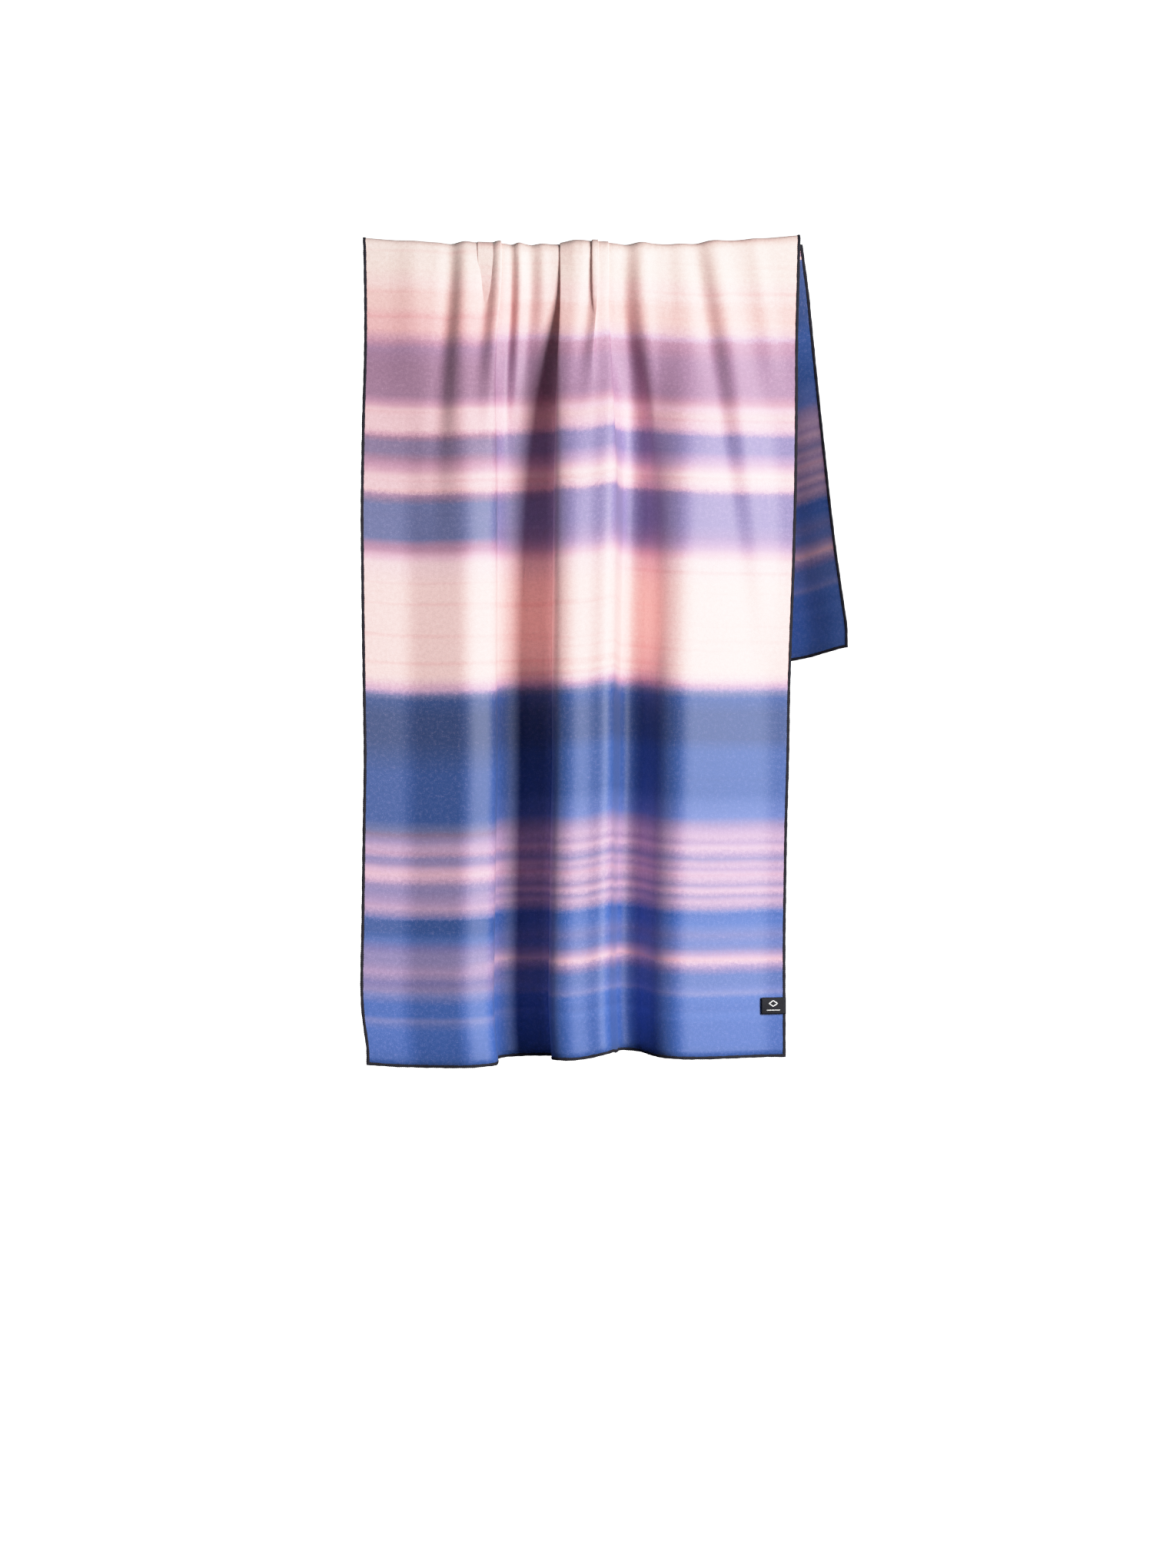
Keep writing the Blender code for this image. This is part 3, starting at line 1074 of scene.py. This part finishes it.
class TOWEL_OT_label(bpy.types.Operator):
    """Build the folded label, its sewn root, stitches and woven mark"""

    bl_idname = "towel.label"
    bl_label = "Folded label"

    def execute(self, context):
        cloth = context.scene.towel_cloth
        label = context.scene.towel_label
        place = label_place(cloth, label)
        ground = thread_material("label_satin", fibres(), label.ground, 2600.0, 0.5)
        bright = thread_material("label_mark_thread", fibres(), label.mark, 2600.0, 0.6)
        thread = bpy.data.materials["overlock_thread"]
        length, height = label.length, label.height
        profile = leaf_profile(length, 0.00035, 0.0003)
        base = 0.0021
        points, faces = label_mesh(profile, height, place, base, length)
        leaf = new_object("label_folded_leaf", np.array(points), np.array(faces), ground)
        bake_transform(leaf)
        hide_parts("label_leaf")
        # The root: a short strip that runs over the edging and is sewn down
        root_profile = [(-0.0006 + 0.0045 * i / 8, 0.0003) for i in range(9)]
        root_profile += [(-0.0006 + 0.0045 * (8 - i) / 8, -0.0003) for i in range(9)]
        points, faces = label_mesh(root_profile, height * 0.998, place, base - 0.0007, length)
        root = new_object("label_sewn_root", np.array(points), np.array(faces), ground)
        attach(root, "front_drop")
        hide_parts("label_root")
        # A lozenge over a plain line, woven in pale thread
        marks = []
        quads = []
        face = base + 0.00035 + 0.00015 + 0.00026

        def strip(a, b, wide):
            a, b = np.array(a), np.array(b)
            side = np.array([-(b - a)[1], (b - a)[0]])
            side = side / np.linalg.norm(side) * wide / 2
            first = len(marks)
            for share in np.linspace(0, 1, 9):
                for sign in (1, -1):
                    x, up = a + (b - a) * share + side * sign
                    lift = label_bend(x, up, length, height)
                    marks.append(place @ Vector((x, face + lift, up)))
            for i in range(8):
                quads.append([first + 2 * i, first + 2 * i + 1, first + 2 * i + 3, first + 2 * i + 2])

        middle = length * 0.53
        corners = [(middle - 0.0052, 0.0030), (middle, 0.0066), (middle + 0.0052, 0.0030),
                   (middle, -0.0006)]
        for i in range(4):
            strip(corners[i], corners[(i + 1) % 4], 0.0011)
        strip((middle - 0.0085, -0.0052), (middle + 0.0085, -0.0052), 0.0009)
        mark = new_object("label_mark", np.array(marks), np.array(quads), bright)
        thick = mark.modifiers.new("Thread", "SOLIDIFY")
        thick.thickness = 0.00012
        thick.offset = 0.0
        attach(mark, "label")
        # Six short stitches down the root
        stitch_points = []
        stitch_faces = []
        for i in range(6):
            up = -height / 2 + height / 6 * (i + 0.5)
            centre = np.array([0.0016, base + 0.0001, up])
            first = len(stitch_points)
            rings, sides = 7, 8
            for r in range(rings):
                share = r / (rings - 1)
                bulge = math.sin(math.pi * min(max(share, 0.02), 0.98)) ** 0.5
                for s in range(sides):
                    a = 2 * math.pi * s / sides
                    local = centre + np.array([
                        (share - 0.5) * 0.0026,
                        0.00022 * bulge * math.cos(a),
                        0.0004 * bulge * math.sin(a) + (share - 0.5) * 0.0006,
                    ])
                    stitch_points.append(place @ Vector(local))
            for r in range(rings - 1):
                for s in range(sides):
                    n = (s + 1) % sides
                    stitch_faces.append([first + r * sides + s, first + r * sides + n,
                                         first + (r + 1) * sides + n, first + (r + 1) * sides + s])
        stitches = new_object("label_stitches", np.array(stitch_points), np.array(stitch_faces),
                              thread)
        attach(stitches, "front_drop")
        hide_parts(*[f"label_stitch_{i + 1}" for i in range(6)])
        return {"FINISHED"}


class TOWEL_OT_sheets(bpy.types.Operator):
    bl_idname = "towel.sheets"
    bl_label = "Flat sizes"

    def execute(self, context):
        return {"FINISHED"}


def area_light(name, where, towards, size, power, colour=(1, 1, 1)):
    data = bpy.data.lights.new(name, "AREA")
    data.shape = "RECTANGLE"
    data.size, data.size_y = size
    data.energy = power
    data.color = colour
    made = bpy.data.objects.new(name, data)
    bpy.context.scene.collection.objects.link(made)
    made.location = where
    made.rotation_mode = "QUATERNION"
    made.rotation_quaternion = (Vector(towards) - Vector(where)).to_track_quat("-Z", "Y")
    return made


class TOWEL_OT_stage(bpy.types.Operator):
    """Set the pale floor, the soft studio light and the camera"""

    bl_idname = "towel.stage"
    bl_label = "Stage"

    def execute(self, context):
        stage = context.scene.towel_stage
        scene = context.scene
        mesh = bpy.data.meshes.new("floor")
        size = 9.0
        level = CAD_BOX[0][2] - 0.75
        corners = [(-size, -size, level), (size, -size, level), (size, size, level),
                   (-size, size, level)]
        mesh.from_pydata(corners, [], [(0, 1, 2, 3)])
        floor = bpy.data.objects.new("floor", mesh)
        scene.collection.objects.link(floor)
        made, _, shader = new_material("pale_floor")
        shader.inputs["Base Color"].default_value = (0.9, 0.9, 0.9, 1.0)
        shader.inputs["Roughness"].default_value = 0.9
        shader.inputs["Emission Color"].default_value = (1.0, 1.0, 1.0, 1.0)
        shader.inputs["Emission Strength"].default_value = 2.0
        mesh.materials.append(made)
        floor.visible_diffuse = False
        floor.visible_glossy = False
        world = bpy.data.worlds.new("studio")
        world.use_nodes = True
        nodes = world.node_tree.nodes
        back = nodes["Background"]
        back.inputs["Color"].default_value = (1.0, 1.0, 1.0, 1.0)
        back.inputs["Strength"].default_value = 2.0
        dim = nodes.new("ShaderNodeBackground")
        dim.inputs["Color"].default_value = (1.0, 1.0, 1.0, 1.0)
        dim.inputs["Strength"].default_value = 0.02
        rays = nodes.new("ShaderNodeLightPath")
        mix = nodes.new("ShaderNodeMixShader")
        links = world.node_tree.links
        links.new(rays.outputs["Is Camera Ray"], mix.inputs[0])
        links.new(dim.outputs[0], mix.inputs[1])
        links.new(back.outputs[0], mix.inputs[2])
        links.new(mix.outputs[0], nodes["World Output"].inputs["Surface"])
        scene.world = world
        middle = (0.0, 0.0, -0.5)
        key_turn = math.radians(44)
        key_far = 3.4
        area_light("key", (key_far * math.sin(key_turn), -key_far * math.cos(key_turn), -0.1), middle,
                   (1.6, 2.2), stage.key_power)
        area_light("fill", (-2.6, -1.9, -0.4), middle, (0.8, 1.8), stage.fill_power)
        area_light("behind", (0.8, 3.0, 0.6), middle, (2.0, 2.0), 30.0)
        data = bpy.data.cameras.new("camera")
        data.lens = 85.0
        data.sensor_width = 36.0
        data.shift_y = -0.0637
        camera = bpy.data.objects.new("camera", data)
        scene.collection.objects.link(camera)
        camera.location = (-0.0066, -stage.camera_distance, stage.camera_height)
        camera.rotation_euler = (math.radians(90), 0, 0)
        scene.camera = camera
        view = scene.view_settings
        view.view_transform = "Standard"
        # Highlights roll off softly instead of clipping
        view.use_curve_mapping = True
        mapping = view.curve_mapping
        mapping.white_level = (1.6, 1.6, 1.6)
        curve = mapping.curves[3]
        curve.points[0].location = (0.0, 0.0)
        curve.points[1].location = (1.0, 1.0)
        for level, shown in HIGHLIGHTS:
            curve.points.new(level / 1.6, shown)
        mapping.update()
        return {"FINISHED"}


class TOWEL_PT_panel(bpy.types.Panel):
    """Lists the towel's pieces."""

    bl_idname = "TOWEL_PT_panel"
    bl_label = "Quick dry towel"
    bl_space_type = "VIEW_3D"
    bl_region_type = "UI"
    bl_category = "Towel"

    def draw(self, context):
        for operator in OPERATORS:
            self.layout.operator(operator.bl_idname)


GROUPS = (
    ("towel_cloth", TowelClothSettings),
    ("towel_edging", TowelEdgingSettings),
    ("towel_label", TowelLabelSettings),
    ("towel_stage", TowelStageSettings),
)
OPERATORS = (TOWEL_OT_cloth, TOWEL_OT_edging, TOWEL_OT_label, TOWEL_OT_stage, TOWEL_OT_sheets)


def register():
    for name, group in GROUPS:
        bpy.utils.register_class(group)
        setattr(bpy.types.Scene, name, bpy.props.PointerProperty(type=group))
    for made in (*OPERATORS, TOWEL_PT_panel):
        bpy.utils.register_class(made)


def unregister():
    for made in (TOWEL_PT_panel, *reversed(OPERATORS)):
        bpy.utils.unregister_class(made)
    for name, group in reversed(GROUPS):
        delattr(bpy.types.Scene, name)
        bpy.utils.unregister_class(group)


def main():
    register()
    bpy.ops.towel.cloth()
    bpy.ops.towel.edging()
    bpy.ops.towel.label()
    bpy.ops.towel.stage()
    bpy.ops.towel.sheets()


if __name__ == "__main__":
    main()
